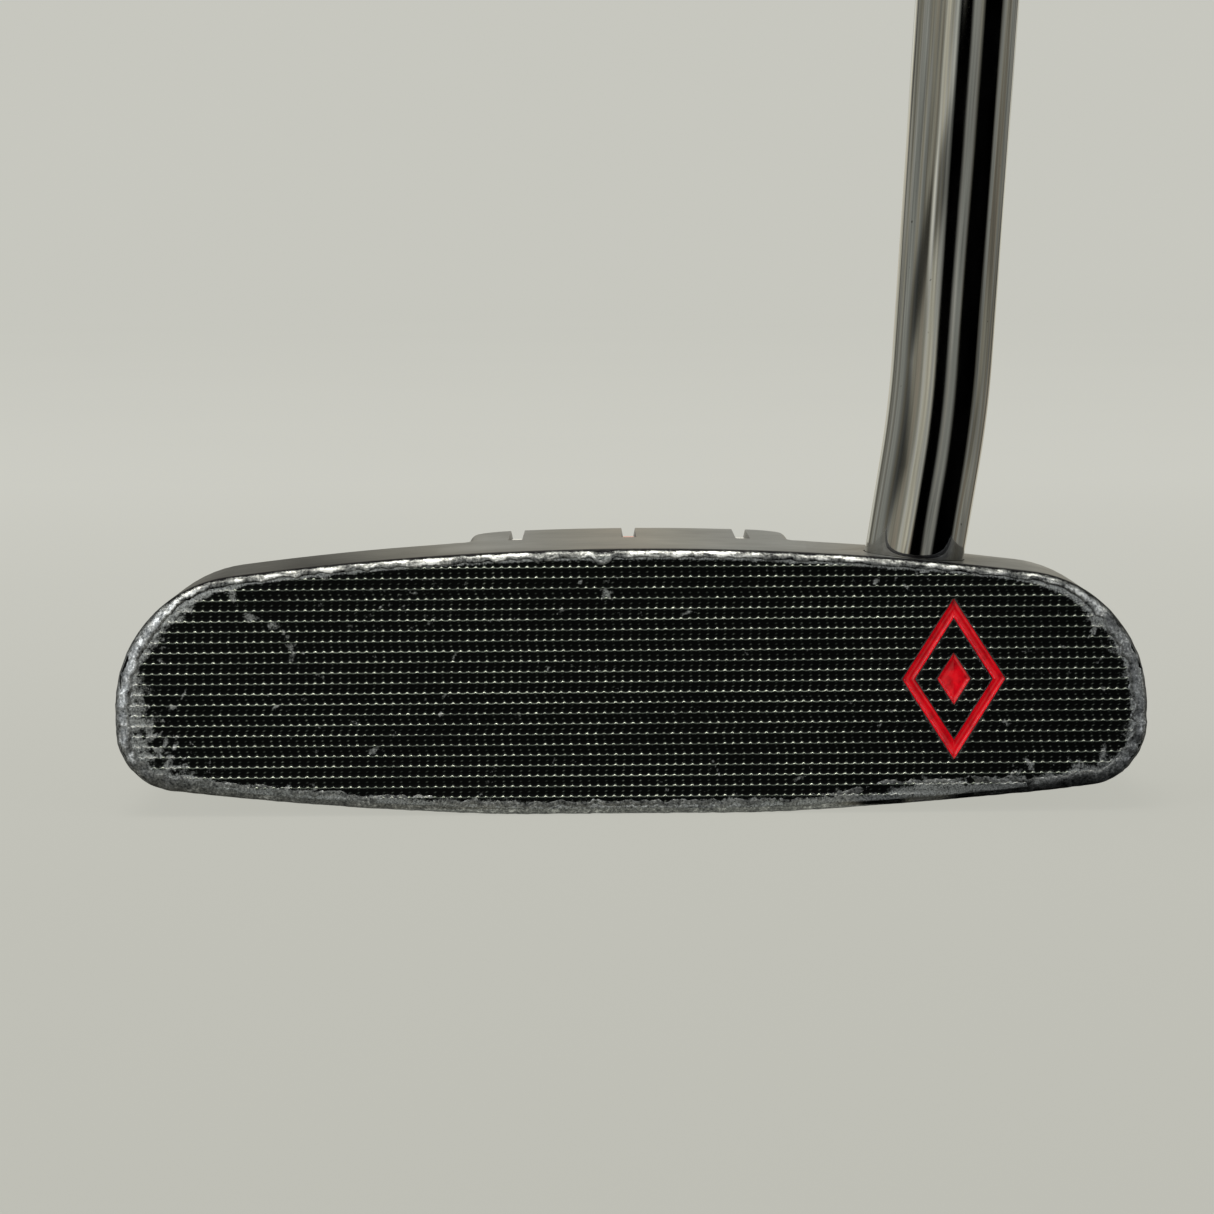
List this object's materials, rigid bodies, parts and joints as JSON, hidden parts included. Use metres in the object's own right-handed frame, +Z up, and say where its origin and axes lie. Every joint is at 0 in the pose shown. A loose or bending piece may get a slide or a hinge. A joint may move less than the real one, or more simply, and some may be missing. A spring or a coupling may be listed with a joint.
{
  "type": "putter",
  "caption": "Right-handed golf putter: milled head with a full-height blade front and low rear flange, double-bend chromed shaft set into the topline, pistol rubber grip.",
  "frame": {"origin": "middle of the flat pad on the sole, which rests on the ground", "axes": "+X towards the heel and the player, +Y from the face to the back of the head, +Z up; the face looks along -Y and the club stands at its 71 degree lie"},
  "size_m": [0.3503, 0.0779, 0.834],
  "materials": {
    "black_milled_steel": "milled, black oxide, worn to bare metal on its edges",
    "red_enamel": "gloss paint fill",
    "white_enamel": "gloss paint fill",
    "chromed_steel": "mirror chrome on a steel tube",
    "epoxy": "cured adhesive",
    "plug_plastic": "moulded",
    "grip_tape": "crepe double-sided tape",
    "grip_rubber": "moulded, fine texture",
    "cap_rubber": "moulded, smooth"
  },
  "bodies": {
    "root": {"head_body": "black_milled_steel", "face_mark_enamel": "red_enamel", "centre_sight_enamel": "red_enamel", "outer_sight_enamel": "white_enamel", "shaft": "chromed_steel", "shaft_bond": "epoxy", "shaft_tip_plug": "plug_plastic", "grip_tape": "grip_tape", "grip": "grip_rubber", "grip_cap": "cap_rubber"}
  },
  "joints": []
}
